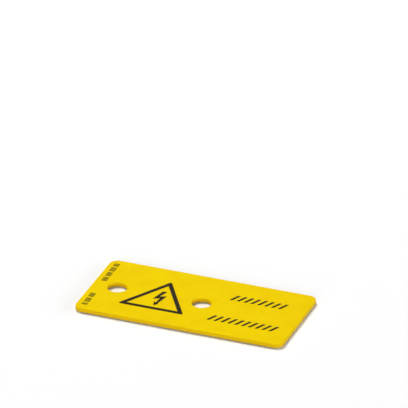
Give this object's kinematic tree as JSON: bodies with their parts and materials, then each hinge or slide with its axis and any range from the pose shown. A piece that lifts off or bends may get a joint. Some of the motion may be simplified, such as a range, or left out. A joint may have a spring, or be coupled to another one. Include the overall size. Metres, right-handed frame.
{
  "type": "warning sign",
  "caption": "Flat plastic warning plate with rounded corners and round fixing holes, printed with a triangle and lightning bolt beside rows of slanted bars.",
  "frame": {"origin": "middle of the plate's flat back, which lies on the surface", "axes": "+X along the plate's length, from the end with the fixing hole to the end with the rows of bars; +Y across the plate, towards the triangle's top corner; +Z out of the printed front"},
  "size_m": [0.05, 0.025, 0.001],
  "materials": {
    "yellow_plastic": "smooth satin, moulded",
    "black_ink": "matt printed ink"
  },
  "bodies": {
    "root": {"plate": "yellow_plastic", "triangle_band": "black_ink", "lightning_bolt": "black_ink", "upper_bars": "black_ink", "lower_bars": "black_ink", "edge_ticks": "black_ink"}
  },
  "joints": []
}
